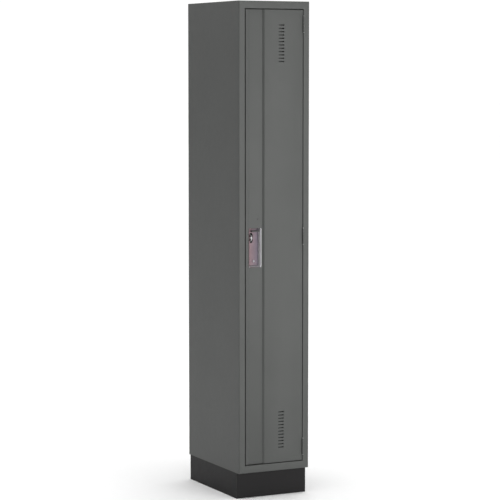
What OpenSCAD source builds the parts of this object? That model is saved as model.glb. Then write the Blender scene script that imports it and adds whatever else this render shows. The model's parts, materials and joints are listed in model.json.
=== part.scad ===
// Single tier steel locker: a welded body on a closed base, a double skinned door on three
// hinges, and a lift trigger in a recessed pocket that raises a lock bar inside the door.
// Origin: centre of the footprint on the floor. +Z up, the door faces -Y, hinges on +X.
// "Depth" is the distance behind the front face, so depth 0 is the plane of the door.

/* [Body] */
// Width of the body
body_w = 304.8; // [279.4:12.7:406.4]
// Depth of the body
body_d = 457.2; // [381:12.7:609.6]
// Height of the body above the base
body_h = 1828.8; // [1727.2:12.7:1930.4]
// Thickness of the body sheet
sheet_t = 1.0; // [0.8:0.1:1.2]
// Distance from the top of the body down to the hat shelf
shelf_drop = 228.6; // [203.2:12.7:304.8]

/* [Front frame] */
// Visible width of each upright of the frame
stile_w = 25.4; // [22:0.2:30]
// Visible height of the top and bottom rails
rail_h = 29.3; // [26:0.1:34]
// Thickness of the frame sheet
frame_t = 1.5; // [1.2:0.1:1.9]

/* [Base] */
// Height of the closed base
base_h = 101.6; // [76.2:12.7:152.4]
// Set-back of the base behind the front face
base_setback = 23.5; // [10:0.5:50]

/* [Door] */
// Thickness of the closed door
door_t = 28; // [28:0.5:30]
// Gap round the top, bottom and latch side of the door
door_gap = 3; // [2.5:0.1:3.5]
// Gap on the hinge side of the door
hinge_gap = 2.4; // [2.4:0.1:3]
// Thickness of the outer door sheet
skin_t = 1.2; // [1:0.1:1.5]
// Thickness of the inner door sheet
inner_t = 1.0; // [0.8:0.1:1.2]

/* [Ventilation] */
// Number of slots in each group
vent_count = 12; // [6:1:16]
// Length of a slot
vent_l = 25.4; // [20:0.2:32]
// Height of a slot
vent_h = 4.3; // [3:0.1:6]
// Distance from slot to slot
vent_pitch = 12.7; // [9:0.1:16]

/* [Latch] */
// Travel of the lift trigger and the lock bar
lift = 6; // [3:0.5:6]

/* [Hidden] */
$fn = 48;

// Colours
grey = [0.42, 0.424, 0.412];
black = [0.17, 0.17, 0.165];
stainless = [0.66, 0.65, 0.66];
zinc = [0.72, 0.73, 0.74];
plastic = [0.09, 0.09, 0.09];
nylon = [0.86, 0.85, 0.80];
rubber = [0.13, 0.13, 0.13];

// Outer planes of the body
side_x = body_w / 2;
front_y = -body_d / 2;
body_top = base_h + body_h;
body_mid = base_h + body_h / 2;
far = 1; // how far a cutter runs past the sheet that it cuts

// Front frame
stile_x = side_x - stile_w;             // edge of the door opening
opening_top = body_top - rail_h;
opening_bottom = base_h + rail_h;
corner_return = 5;                      // depth of the frame's own side before the panel starts
weld_flange = 22;                       // depth that the frame reaches behind the panels
stop_depth = door_t + 2;                // front of the flange that stops the door
stop_w = 13;                            // width of that flange
inner_edge = 13;                        // how far the inner pan's edges are turned forwards
panel_lap = 17;                         // side panel's flange behind the back panel
panel_flange = 19;                      // flanges of the top and bottom sheets

// Door
door_left = -stile_x + door_gap;
door_right = stile_x - hinge_gap;
door_top = opening_top - door_gap;
door_bottom = opening_bottom + door_gap;
door_mid = (door_top + door_bottom) / 2;
channel_depth = 6;                      // recessed channel down the latch side of the door
rim_edge = door_left + 10.6;            // rim beside the channel
floor_left = rim_edge + 2;
floor_right = door_left + 73.6;
step_right = floor_right + 7.7;         // top of the sloped wall, at the front plane
door_profile = [
    [door_right, door_t], [door_right, 0], [step_right, 0], [floor_right, channel_depth],
    [floor_left, channel_depth], [rim_edge, 0], [door_left, 0], [door_left, door_t]
];

// Hinges: five knuckles in front of the gap, leaves inside the gap
pin_r = 1.3;
pin_play = 0.05;
knuckle_r = 2.8;
knuckle_h = 12.7;
knuckle_gap = 0.3;
knuckle_count = 5;
leaf_t = 1.0;
leaf_reach = 24;                        // depth of a leaf behind the front face
hinge_h = knuckle_count * knuckle_h;
pivot_x = stile_x - hinge_gap / 2;
pivot_depth = -(knuckle_r + 0.3);
hinge_z = [door_top - 55, door_mid + 4, door_bottom + 55];
rivet_r = 2;
rivet_play = 0.05;
hinge_rivet_depth = 14;
hinge_rivet_z = [-22, 0, 22];

// Ventilation slots, the inner ones beside the outer ones so that nothing passes straight in
vent_x = 30.6;
vent_end = 59.3;                        // door end to the centre of the first slot
inner_vent_x = vent_x + vent_l + 2.5;

// Hat section stiffener down the door, its right flange behind the left part of each slot
hat_right = vent_x + 0.15 * vent_l;
hat_flange = 0.65 * vent_l + 1.5;
hat_slope = 3;
hat_top_w = 14;
hat_depth = 12;
hat_left = hat_right - 2 * (hat_flange + hat_slope) - hat_top_w;

// Pocket, drawn from one sheet, its lip on the floor of the channel
pocket_t = 1;
lip_t = 1;
lip = 2;
pocket_left = door_left + 16;
pocket_right = floor_right - 3.8;
pocket_bottom = door_mid - 110;
pocket_top = door_mid + 41.5;
pocket_depth = 20;                      // front face of its back plate
lip_depth = channel_depth - lip_t;
draft_left = 2;
draft_right = 3;
draft_bottom = 3;
draft_top = 0.5;
cutout_play = 0.7;

// Padlock hasp: a plate on edge that stands out through a D shaped hole
hasp_x = door_left + 28;
hasp_t = 2.5;
hasp_z = door_mid + 3.5;
hasp_h = 26;                            // height where it leaves the back plate
hasp_out = 14;                          // how far it stands out of the back plate
shackle_r = 4.2;
d_hole_w = 12.5;
d_hole_h = 40;
hasp_strip = 5;
hasp_foot_w = 26;
hasp_foot_t = 2;
hasp_foot_depth = pocket_depth + pocket_t + 0.2;
screw_x = door_left + 44.6;
screw_z = pocket_bottom + 22.5;
screw_r = 2.4;
screw_head_r = 4.6;
nut_h = 3;

// Lift trigger: a plate behind the pocket with a finger tab through it
tab_x = [door_left + 33, door_left + 62];
tab_z = pocket_top - 13.5;
tab_t = 2;
stem_x = [door_left + 36, door_left + 56];
stem_play = 1;
slide_t = 1.5;
slide_depth = pocket_depth + pocket_t + 0.5;
slide_x = [door_left + 34, door_left + 57.5];
slide_z = [pocket_top - 16, pocket_top + 8];
cover_x = [door_left + 31, door_left + 64];
cover_z = [pocket_top - 15.5, pocket_top - 8.5];
cover_depth = [12, 18];
guide_z = [pocket_top - 14, pocket_top - 2];
guide_t = 1;

// Plug in a spare hole of the channel, above the pocket
plug_x = door_left + 54.5;
plug_z = pocket_top + 35.5;
plug_r = 1.7;

// Lock bar on edge beside the pocket, with an ear over each frame hook
bar_x = [door_left + 10.5, door_left + 12.5];
bar_depth = [12, 22];
hook_z = [door_top - 198, door_mid, door_bottom + 198];
bar_z = [hook_z[2] - 30, hook_z[0] + 30];
hook_x = [door_left + 4.5, door_left + 6.5];
ear_depth = [15.5, 18.5];
ear_z = [6.5, 9.5];
lug_z = [slide_z[1] + 0.2, slide_z[1] + 3.2];
bar_guide_z = [door_bottom + 290, door_bottom + 670, door_mid + 170, door_top - 300];
bar_guide_h = 16;
bar_play = 0.3;
bar_stop = [2.5, 3];                    // width and height of the stops on the lock bar

// Frame hook rivets and door silencers sit above and below each hook
hook_rivet_x = door_left + 3;
hook_rivet_z = [-24, 20];
silencer_z = 45;
silencer_r = 5;
silencer_t = 1.8;

// Hat shelf
shelf_z = body_top - shelf_drop;
shelf_front = stop_depth + frame_t + 8;
shelf_lip = 15;
shelf_hem = 8;
shelf_flange = 16;

// Wall hooks: a plate, and a strap whose outer face follows a path of (depth, z)
hook_plate = [18, 46, 2];
hook_w = 10;
hook_t = 3;
wall_hook_path = [[-1, -2], [-20, -12], [-29, -8], [-31, 4], [-29, 10]];
wall_hook_z = shelf_z - 130;
wall_hook_depth = body_d * 0.6;

// Double hook under the shelf: a strap with a prong bent up at each end
ceiling_hook_depth = body_d / 2;
ceiling_hook_t = 3;
ceiling_hook_drop = 40;
ceiling_plate = [16, 48];
ceiling_strap_w = 10;
ceiling_hook_gap = 30;                  // spacing of its two rivets
prong_path = [[0, 0], [12, -8], [26, -8], [34, 0], [34, 14]];
prong_h = 6;

// Base
base_t = 1.5;
base_flange = 25;
base_side_inset = 1;
base_back_inset = 9;
base_x = side_x - base_side_inset;
base_back_depth = body_d - base_back_inset;
anchor_r = 5.5;
anchor_x = base_x - 14;
anchor_depth = [base_setback + 60, base_back_depth - 60];
base_bolt_r = 3;
base_bolt_x = base_x - 14;
base_bolt_depth = [base_setback + 40, base_back_depth - 40];
base_nut_h = 5;
base_nut_r = 5.77;
corner_leg = 22;
corner_gap = 4;                         // from a corner angle's end to the flanges

// Wall anchor holes in the back panel
wall_hole_r = 3.5;
wall_hole_x = 76.2;
wall_hole_z = [base_h + 150, body_top - 90];

// ---- drawing in sections: an extrusion takes (x, depth), (depth, z) or (x, z) ----
module along_z(z) {
    translate([0, front_y, z[0]]) linear_extrude(z[1] - z[0]) children();
}
module along_x(x) {
    translate([x[0], front_y, 0]) rotate([90, 0, 90]) linear_extrude(x[1] - x[0]) children();
}
module along_y(d) {
    translate([0, front_y + d[1], 0]) rotate([90, 0, 0]) linear_extrude(d[1] - d[0]) children();
}
module block(x, d, z) {
    translate([x[0], front_y + d[0], z[0]]) cube([x[1] - x[0], d[1] - d[0], z[1] - z[0]]);
}
// round bar or bore along each axis
module rod_x(x, d, z, r) {
    translate([x[0], front_y + d, z]) rotate([0, 90, 0]) cylinder(r = r, h = x[1] - x[0]);
}
module rod_y(x, d, z, r) {
    translate([x, front_y + d[1], z]) rotate([90, 0, 0]) cylinder(r = r, h = d[1] - d[0]);
}
module rod_z(x, d, z, r) {
    translate([x, front_y + d, z[0]]) cylinder(r = r, h = z[1] - z[0]);
}
module slot_2d(l, h) {
    square([l - h, h], center = true);
    for (s = [-1, 1]) translate([s * (l - h) / 2, 0]) circle(h / 2);
}

// Folded sheet: the outline of its outer face, made solid towards the left of its path
function unit(v) = v / norm(v);
function left_of(v) = [-v[1], v[0]];
function fold(a, b, c) =
    let (n = left_of(unit(b - a)), m = left_of(unit(c - b))) (n + m) / (1 + n * m);
function inner_side(p, t) = [
    for (i = [0 : len(p) - 1])
        p[i] + t * (
            i == 0 ? left_of(unit(p[1] - p[0])) :
            i == len(p) - 1 ? left_of(unit(p[i] - p[i - 1])) :
            fold(p[i - 1], p[i], p[i + 1]))
];
function backwards(p) = [for (i = [len(p) - 1 : -1 : 0]) p[i]];
module folded(p, t) { polygon(concat(p, backwards(inner_side(p, t)))); }

// ---- body ----
module side_panel() {
    along_z([base_h, body_top]) folded([
        [-side_x, corner_return + 0.2], [-side_x, body_d], [panel_lap - side_x, body_d]], -sheet_t);
}
module left_side_panel() color(grey) side_panel();
module right_side_panel() color(grey) mirror([1, 0, 0]) side_panel();

module back_panel() color(grey) difference() {
    block([sheet_t - side_x, side_x - sheet_t], [body_d - 2 * sheet_t, body_d - sheet_t],
          [base_h + sheet_t, body_top - sheet_t]);
    for (x = [-wall_hole_x, wall_hole_x], z = wall_hole_z)
        rod_y(x, [body_d - 3 * sheet_t, body_d], z, wall_hole_r);
}

// bottom sheet with flanges turned up at the back and the sides
module floor_sheet() {
    edge = side_x - sheet_t;
    back = body_d - 2 * sheet_t;
    along_x([-edge, edge])
        folded([[corner_return, base_h], [back, base_h], [back, base_h + panel_flange]], sheet_t);
    for (s = [0, 1]) mirror([s, 0, 0])
        block([edge - sheet_t, edge], [weld_flange + 2, back - 6], [base_h, base_h + panel_flange]);
}
module base_bolt_bores(r) {
    for (x = [-base_bolt_x, base_bolt_x], d = base_bolt_depth)
        rod_z(x, d, [base_h - base_t - far, base_h + sheet_t + far], r);
}
module bottom_panel() color(grey) difference() {
    floor_sheet();
    base_bolt_bores(base_bolt_r + 0.2);
}
module top_panel() color(grey) translate([0, 0, 2 * body_mid]) mirror([0, 0, 1]) floor_sheet();

// ---- front frame: u runs inwards from the outer plane, v is depth ----
module frame_section(w) {
    folded([[sheet_t, weld_flange], [sheet_t, corner_return], [0, corner_return], [0, 0],
            [w, 0], [w, stop_depth + frame_t]], frame_t);
    // the flange that stops the door is folded the other way
    translate([w - frame_t, stop_depth]) square([stop_w + frame_t, frame_t]);
}
module stile() {
    stop_span = [stop_depth - far, stop_depth + frame_t + far];
    difference() {
        along_z([base_h, body_top]) translate([-side_x, 0]) frame_section(stile_w);
        for (z = [[base_h - far, opening_bottom], [opening_top, body_top + far]])
            block([-stile_x, -stile_x + stop_w + far], stop_span, z);
        // room for the top and bottom sheets
        for (z = [[base_h - far, base_h + sheet_t], [body_top - sheet_t, body_top + far]])
            block([-side_x - far, -stile_x + far], [corner_return, stop_span[1]], z);
    }
}
module latch_stile() color(grey) difference() {
    stile();
    through = [stop_depth - far, stop_depth + frame_t + far];
    for (z = hook_z) {
        block([hook_x[0] - 0.2, hook_x[1] + 0.2], through, [z - 12.2, z + 8.2]);
        for (dz = hook_rivet_z) rod_y(hook_rivet_x, through, z + dz, rivet_r + rivet_play);
    }
}
module hinge_stile() color(grey) mirror([1, 0, 0]) stile();

module rail() {
    difference() {
        along_x([-stile_x, stile_x]) translate([0, base_h]) mirror([1, -1]) frame_section(rail_h);
        for (s = [0, 1]) mirror([s, 0, 0])
            block([stile_x - stop_w, stile_x + far], [stop_depth - far, stop_depth + frame_t + far],
                  [opening_bottom, opening_bottom + stop_w + far]);
    }
}
module bottom_rail() color(grey) rail();
module top_rail() color(grey) translate([0, 0, 2 * body_mid]) mirror([0, 0, 1]) rail();

// ---- inside fittings ----
module hat_shelf() color(grey) difference() {
    edge = side_x - sheet_t;
    back = body_d - 2 * sheet_t;
    union() {
        along_x([-edge, edge]) folded([
            [shelf_front + shelf_hem, shelf_z - shelf_lip], [shelf_front, shelf_z - shelf_lip],
            [shelf_front, shelf_z], [back, shelf_z], [back, shelf_z - shelf_flange]], -sheet_t);
        for (s = [0, 1]) mirror([s, 0, 0])
            block([edge - sheet_t, edge], [shelf_front + 12, back - 6], [shelf_z - shelf_flange, shelf_z]);
    }
    for (s = [-1, 1])
        rod_z(0, ceiling_hook_depth + s * ceiling_hook_gap / 2, [shelf_z - 2 * sheet_t, shelf_z + far],
              rivet_r + rivet_play);
}

// single wall hook: a plate with one bent prong, drawn on a wall at y = 0 and facing -y
module wall_hook() {
    translate([-hook_plate[0] / 2, -hook_plate[2], -hook_plate[1] / 2])
        cube([hook_plate[0], hook_plate[2], hook_plate[1]]);
    translate([-hook_w / 2, 0, 0]) rotate([90, 0, 90]) linear_extrude(hook_w)
        folded(wall_hook_path, -hook_t);
}
module coat_hook_left() color(zinc)
    translate([sheet_t - side_x, front_y + wall_hook_depth, wall_hook_z]) rotate([0, 0, 90]) wall_hook();
module coat_hook_right() color(zinc)
    translate([side_x - sheet_t, front_y + wall_hook_depth, wall_hook_z]) rotate([0, 0, -90]) wall_hook();
module coat_hook_back() color(zinc)
    translate([0, front_y + body_d - 2 * sheet_t, wall_hook_z]) wall_hook();

module ceiling_hook() color(zinc) difference() {
    under = shelf_z - sheet_t;
    plate_bottom = under - ceiling_hook_t;
    prong_z = under - ceiling_hook_drop;
    strap_d = [ceiling_hook_depth - ceiling_hook_t / 2, ceiling_hook_depth + ceiling_hook_t / 2];
    union() {
        block([-ceiling_plate[0] / 2, ceiling_plate[0] / 2],
              [ceiling_hook_depth - ceiling_plate[1] / 2, ceiling_hook_depth + ceiling_plate[1] / 2],
              [plate_bottom, under]);
        block([-ceiling_strap_w / 2, ceiling_strap_w / 2], strap_d, [prong_z, plate_bottom]);
        for (s = [0, 1]) mirror([s, 0, 0])
            along_y(strap_d) translate([0, prong_z]) folded(prong_path, prong_h);
    }
    for (s = [-1, 1])
        rod_z(0, ceiling_hook_depth + s * ceiling_hook_gap / 2, [plate_bottom - far, under + far],
              rivet_r + rivet_play);
}
module ceiling_hook_rivets() color(zinc)
    for (s = [-1, 1]) translate([0, front_y + ceiling_hook_depth + s * ceiling_hook_gap / 2, shelf_z])
        rivet(sheet_t + ceiling_hook_t);

// rivet whose head sits on z = 0 and whose tail closes on z = -grip
module rivet(grip) {
    cylinder(r1 = 2 * rivet_r, r2 = 1.2 * rivet_r, h = 1.2);
    translate([0, 0, -grip]) cylinder(r = rivet_r, h = grip);
    translate([0, 0, -grip - 1]) cylinder(r = 1.6 * rivet_r, h = 1);
}

// ---- base ----
// side channel, its flanges cut back where the webs of the front and the back meet it
module base_side() {
    difference() {
        along_y([base_setback, base_back_depth]) translate([-base_x, 0])
            folded([[base_flange, 0], [0, 0], [0, base_h], [base_flange, base_h]], -base_t);
        for (d = [base_setback, base_back_depth])
            block([-base_x + base_t, -base_x + base_flange + far], [d - base_t, d + base_t],
                  [-far, base_h + far]);
        for (d = anchor_depth) rod_z(-anchor_x, d, [-far, base_t + far], anchor_r);
        base_bolt_bores(base_bolt_r + 0.2);
    }
}
module base_left() color(black) base_side();
module base_right() color(black) mirror([1, 0, 0]) base_side();

// web between the two sides, with flanges that stop short of theirs
module base_cross(d, inward) {
    web = base_x - base_t;
    flat = base_x - base_flange - 0.5;
    block([-web, web], inward > 0 ? [d, d + base_t] : [d - base_t, d], [0, base_h]);
    for (z = [[0, base_t], [base_h - base_t, base_h]])
        block([-flat, flat], inward > 0 ? [d, d + base_flange] : [d - base_flange, d], z);
}
module base_front() color(black) base_cross(base_setback, 1);
module base_back() color(black) base_cross(base_back_depth, -1);

module base_corner_angles() color(black) {
    inner = base_x - base_t;
    front = base_setback + base_t;
    back = base_back_depth - base_t;
    z = [base_t + corner_gap, base_h - base_t - corner_gap];
    for (s = [0, 1]) mirror([s, 0, 0]) {
        along_z(z) folded(
            [[inner - corner_leg, front], [inner, front], [inner, front + corner_leg]], base_t);
        along_z(z) folded(
            [[inner, back - corner_leg], [inner, back], [inner - corner_leg, back]], base_t);
    }
}
module base_bolts() color(zinc)
    for (x = [-base_bolt_x, base_bolt_x], d = base_bolt_depth) {
        rod_z(x, d, [base_h - base_t - base_nut_h - 4, base_h + sheet_t], base_bolt_r);
        translate([x, front_y + d, base_h + sheet_t]) cylinder(r1 = 6.5, r2 = 4.5, h = 3);
    }
module base_nuts() color(zinc)
    for (x = [-base_bolt_x, base_bolt_x], d = base_bolt_depth) difference() {
        translate([x, front_y + d, base_h - base_t - base_nut_h])
            cylinder(r = base_nut_r, h = base_nut_h, $fn = 6);
        rod_z(x, d, [base_h - base_t - base_nut_h - far, base_h], base_bolt_r + 0.05);
    }

// ---- hinges ----
// span of knuckle i of a hinge centred on z
function knuckle_span(z, i) = [
    z - hinge_h / 2 + i * knuckle_h + knuckle_gap / 2,
    z - hinge_h / 2 + (i + 1) * knuckle_h - knuckle_gap / 2
];
// a leaf lies between depth `from` and its reach; side is -1 for the door's, 1 for the frame's
module leaf_plate(side, from, z) {
    x = pivot_x + side * (hinge_gap / 2 - leaf_t / 2);
    block([x - leaf_t / 2, x + leaf_t / 2], [from, leaf_reach], z);
}
module leaf(side, z, knuckles) {
    difference() {
        union() {
            leaf_plate(side, 0.4, [z - hinge_h / 2, z + hinge_h / 2]);
            for (i = knuckles) {
                rod_z(pivot_x, pivot_depth, knuckle_span(z, i), knuckle_r);
                leaf_plate(side, pivot_depth + knuckle_r / 2, knuckle_span(z, i));
            }
        }
        rod_z(pivot_x, pivot_depth, [z - hinge_h, z + hinge_h], pin_r + pin_play);
    }
}
module frame_leaf(z) color(grey) leaf(1, z, [0, 2, 4]);
module door_leaf(z) color(grey) difference() {
    leaf(-1, z, [1, 3]);
    hinge_rivet_bores(z);
}
module hinge_rivet_bores(z) {
    for (dz = hinge_rivet_z)
        rod_x([door_right - skin_t - far, door_right + leaf_t + 0.2], hinge_rivet_depth, z + dz,
              rivet_r + rivet_play);
}
module hinge_pin(z) color(zinc) {
    rod_z(pivot_x, pivot_depth, [z - hinge_h / 2 - 1, z + hinge_h / 2 + 1], pin_r);
    for (end = [[z - hinge_h / 2 - 1, z - hinge_h / 2], [z + hinge_h / 2, z + hinge_h / 2 + 1]])
        rod_z(pivot_x, pivot_depth, end, pin_r + 1);
}
module hinge_rivets() color(grey)
    for (z = hinge_z, dz = hinge_rivet_z) {
        rod_x([door_right - skin_t, door_right + leaf_t], hinge_rivet_depth, z + dz, rivet_r);
        rod_x([door_right - skin_t - 1.2, door_right - skin_t], hinge_rivet_depth, z + dz, 2 * rivet_r);
    }

// ---- door ----
module vents(x, d) {
    along_y(d) for (i = [0 : vent_count - 1]) {
        translate([x, door_top - vent_end - i * vent_pitch]) slot_2d(vent_l, vent_h);
        translate([x, door_bottom + vent_end + i * vent_pitch]) slot_2d(vent_l, vent_h);
    }
}
module door_outer_pan() color(grey) difference() {
    union() {
        along_z([door_bottom, door_top]) folded(door_profile, -skin_t);
        for (z = [[door_bottom, door_bottom + skin_t], [door_top - skin_t, door_top]])
            along_z(z) polygon(door_profile);
    }
    vents(vent_x, [-far, skin_t + far]);
    floor_through = [channel_depth - far, channel_depth + skin_t + far];
    block([pocket_left + cutout_play, pocket_right - cutout_play], floor_through,
          [pocket_bottom + cutout_play, pocket_top - cutout_play]);
    for (z = hinge_z) hinge_rivet_bores(z);
    rod_y(plug_x, floor_through, plug_z, plug_r + rivet_play);
}

// tray that closes the back of the outer pan, its edges turned forwards inside it
module door_inner_pan() color(grey) difference() {
    left = door_left + skin_t;
    right = door_right - skin_t;
    bottom = door_bottom + skin_t;
    top = door_top - skin_t;
    block([left, right], [door_t - inner_edge, door_t], [bottom, top]);
    block([left + inner_t, right - inner_t], [door_t - inner_edge - far, door_t - inner_t],
          [bottom + inner_t, top - inner_t]);
    vents(inner_vent_x, [door_t - inner_t - far, door_t + far]);
    for (z = hook_z)
        block([hook_x[0] - 1.8, hook_x[1] + 3], [door_t - inner_t - far, door_t + far], [z - 16, z + 18]);
    for (z = hinge_z, dz = hinge_rivet_z)
        rod_x([right - inner_t - far, right + far], hinge_rivet_depth, z + dz, 2 * rivet_r + 0.5);
}
module door_stiffener() color(grey)
    along_z([door_bottom + 30, door_top - 30]) folded([
        [hat_left, skin_t], [hat_left + hat_flange, skin_t],
        [hat_left + hat_flange + hat_slope, hat_depth],
        [hat_right - hat_flange - hat_slope, hat_depth],
        [hat_right - hat_flange, skin_t], [hat_right, skin_t]], inner_t);

// ---- pocket ----
// the drawn well from its mouth at one depth, grown by g on its walls and back
module well(g, mouth) {
    left = pocket_left + lip - g;
    right = pocket_right - lip + g;
    bottom = pocket_bottom + lip - g;
    top = pocket_top - lip + g;
    back = pocket_depth + g;
    intersection() {
        along_z([pocket_bottom - far, pocket_top + far])
            polygon([[left, mouth], [right, mouth],
                     [right - draft_right, back], [left + draft_left, back]]);
        along_x([pocket_left - far, pocket_right + far])
            polygon([[mouth, bottom], [mouth, top],
                     [back, top - draft_top], [back, bottom + draft_bottom]]);
    }
}
module d_hole() {
    r = d_hole_w - 2;
    along_y([pocket_depth - far, pocket_depth + pocket_t + far])
        translate([hasp_x - 0.5, hasp_z - d_hole_h / 2]) intersection() {
            square([d_hole_w, d_hole_h]);
            union() {
                square([2, d_hole_h]);
                translate([0, r]) square([d_hole_w, d_hole_h - 2 * r]);
                for (z = [r, d_hole_h - r]) translate([2, z]) circle(r);
            }
        }
}
module handle_pocket() color(stainless) difference() {
    union() {
        block([pocket_left, pocket_right], [lip_depth, channel_depth], [pocket_bottom, pocket_top]);
        well(pocket_t, lip_depth);
    }
    well(0, lip_depth - far);
    d_hole();
    back_through = [pocket_depth - far, pocket_depth + pocket_t + far];
    block([stem_x[0] - stem_play, stem_x[1] + stem_play], back_through,
          [tab_z - stem_play, tab_z + tab_t + lift + stem_play]);
    rod_y(screw_x, back_through, screw_z, screw_r + 0.2);
}
module pocket_screw() color(zinc) {
    rod_y(screw_x, [pocket_depth, hasp_foot_depth + hasp_foot_t + nut_h + 0.3], screw_z, screw_r);
    translate([screw_x, front_y + pocket_depth, screw_z]) rotate([90, 0, 0])
        cylinder(r1 = screw_head_r, r2 = 0.75 * screw_head_r, h = 1.8);
}
module pocket_nut() color(zinc) difference() {
    front = hasp_foot_depth + hasp_foot_t;
    translate([screw_x, front_y + front + nut_h, screw_z]) rotate([90, 0, 0])
        cylinder(r = screw_head_r, h = nut_h, $fn = 6);
    rod_y(screw_x, [front - far, front + nut_h + far], screw_z, screw_r + 0.05);
}

// plate on edge with a round nose, and a foot behind the pocket that the screw holds
module padlock_hasp() color(stainless) {
    // circle through the nose and through both ends of the root
    nose_r = (hasp_out * hasp_out + hasp_h * hasp_h / 4) / (2 * hasp_out);
    nose_depth = pocket_depth - hasp_out + nose_r;
    strip_end = hasp_foot_depth + hasp_strip;
    foot_z = [pocket_bottom + 12, pocket_bottom + 36];
    difference() {
        union() {
            along_x([hasp_x, hasp_x + hasp_t]) {
                intersection() {
                    translate([nose_depth, hasp_z]) circle(nose_r);
                    translate([0, hasp_z - hasp_h]) square([strip_end, 2 * hasp_h]);
                }
                translate([hasp_foot_depth, foot_z[0]])
                    square([hasp_strip, hasp_z - foot_z[0] + hasp_h / 2]);
            }
            block([hasp_x, hasp_x + hasp_foot_w], [hasp_foot_depth, hasp_foot_depth + hasp_foot_t], foot_z);
        }
        rod_x([hasp_x - far, hasp_x + hasp_t + far],
              pocket_depth - hasp_out + shackle_r + 3, hasp_z, shackle_r);
        rod_y(screw_x, [hasp_foot_depth - far, hasp_foot_depth + hasp_foot_t + far],
              screw_z, screw_r + 0.2);
    }
}
module channel_plug() color(plastic) {
    rod_y(plug_x, [channel_depth - 0.8, channel_depth], plug_z, plug_r + 0.6);
    rod_y(plug_x, [channel_depth, channel_depth + skin_t + 2], plug_z, plug_r);
    rod_y(plug_x, [channel_depth + skin_t, channel_depth + skin_t + 1.5], plug_z, plug_r + 0.4);
}

// ---- latch ----
module lift_trigger() color(zinc) {
    block(slide_x, [slide_depth, slide_depth + slide_t], slide_z);
    block([bar_x[1] + 1, slide_x[0]], [slide_depth, slide_depth + slide_t], [slide_z[1] - 4.5, slide_z[1]]);
    block(stem_x, [cover_depth[0] + 2, slide_depth], [tab_z, tab_z + tab_t]);
    block(tab_x, [cover_depth[0] + 2, pocket_depth - 1], [tab_z, tab_z + tab_t]);
}
module trigger_cover() color(plastic) difference() {
    block(cover_x, cover_depth, cover_z);
    block(tab_x, [cover_depth[0] + 2, cover_depth[1] + far], [tab_z, tab_z + tab_t]);
}
module trigger_guide() color(zinc) {
    hat = slide_depth + slide_t + 0.4;
    foot = pocket_depth + pocket_t;
    along_z(guide_z) folded([
        [slide_x[0] - 9, foot], [slide_x[0] - 2, foot], [slide_x[0] - 2, hat],
        [slide_x[1] + 2, hat], [slide_x[1] + 2, foot], [slide_x[1] + 8, foot]], guide_t);
}
module lock_bar() color(zinc) {
    block(bar_x, bar_depth, bar_z);
    for (z = hook_z) block([hook_x[0] - 0.8, bar_x[0]], ear_depth, [z + ear_z[0], z + ear_z[1]]);
    // lug that the trigger pushes up
    block([bar_x[0], bar_x[1] + 11], [bar_depth[1] - 3, slide_depth + slide_t + 0.4], lug_z);
    // stops that meet the lowest guide at rest and the next one when lifted
    resting = bar_guide_z[0] + bar_guide_h / 2 + 0.1;
    raised = bar_guide_z[1] - bar_guide_h / 2 - lift - 0.1 - bar_stop[1];
    for (z = [resting, raised])
        block([bar_x[0] - bar_stop[0], bar_x[0]], [bar_depth[0] + 2, bar_depth[1] - 2],
              [z, z + bar_stop[1]]);
}
module lock_bar_guide(i) color(nylon) difference() {
    z = bar_guide_z[i];
    block([bar_x[0] - 3, bar_x[1] + 11.5], [channel_depth + skin_t, bar_depth[1] + 3],
          [z - bar_guide_h / 2, z + bar_guide_h / 2]);
    block([bar_x[0] - bar_play, bar_x[1] + bar_play], [bar_depth[0] - bar_play, bar_depth[1] + bar_play],
          [z - bar_guide_h, z + bar_guide_h]);
}

// hook on the latch stile: it passes through the stop flange and the inner pan
module frame_hook(z) color(zinc) {
    back = stop_depth + frame_t + frame_t;
    along_x(hook_x) translate([0, z]) polygon([
        [back, -12], [16, -12], [11, -6], [11, 3], [12.5, 6],
        [15, 6], [15, 0], [19, 0], [19, 8], [back, 8]]);
    difference() {
        block([door_left - 2.5, hook_x[1]], [back - frame_t, back], [z - 30, z + 26]);
        for (dz = hook_rivet_z)
            rod_y(hook_rivet_x, [back - frame_t - far, back + far], z + dz, rivet_r + rivet_play);
    }
}
module frame_hook_rivets() color(zinc)
    for (z = hook_z, dz = hook_rivet_z)
        translate([hook_rivet_x, front_y + stop_depth, z + dz]) rotate([90, 0, 0]) rivet(2 * frame_t);
module silencer(z) color(rubber)
    rod_y(hook_rivet_x, [stop_depth - silencer_t, stop_depth], z + silencer_z, silencer_r);

left_side_panel();
right_side_panel();
back_panel();
top_panel();
bottom_panel();
latch_stile();
hinge_stile();
top_rail();
bottom_rail();
hat_shelf();
coat_hook_left();
coat_hook_right();
coat_hook_back();
ceiling_hook();
ceiling_hook_rivets();
base_front();
base_back();
base_left();
base_right();
base_corner_angles();
base_bolts();
base_nuts();
frame_leaf(hinge_z[0]);  // hinge_top_frame_leaf
door_leaf(hinge_z[0]);  // hinge_top_door_leaf
hinge_pin(hinge_z[0]);  // hinge_top_pin
frame_leaf(hinge_z[1]);  // hinge_middle_frame_leaf
door_leaf(hinge_z[1]);  // hinge_middle_door_leaf
hinge_pin(hinge_z[1]);  // hinge_middle_pin
frame_leaf(hinge_z[2]);  // hinge_bottom_frame_leaf
door_leaf(hinge_z[2]);  // hinge_bottom_door_leaf
hinge_pin(hinge_z[2]);  // hinge_bottom_pin
hinge_rivets();
door_outer_pan();
door_inner_pan();
door_stiffener();
handle_pocket();
pocket_screw();
pocket_nut();
padlock_hasp();
lift_trigger();
trigger_cover();
trigger_guide();
lock_bar();
lock_bar_guide(0);  // lock_bar_guide_1
lock_bar_guide(1);  // lock_bar_guide_2
lock_bar_guide(2);  // lock_bar_guide_3
lock_bar_guide(3);  // lock_bar_guide_4
frame_hook(hook_z[0]);  // frame_hook_top
frame_hook(hook_z[1]);  // frame_hook_middle
frame_hook(hook_z[2]);  // frame_hook_bottom
frame_hook_rivets();
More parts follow.
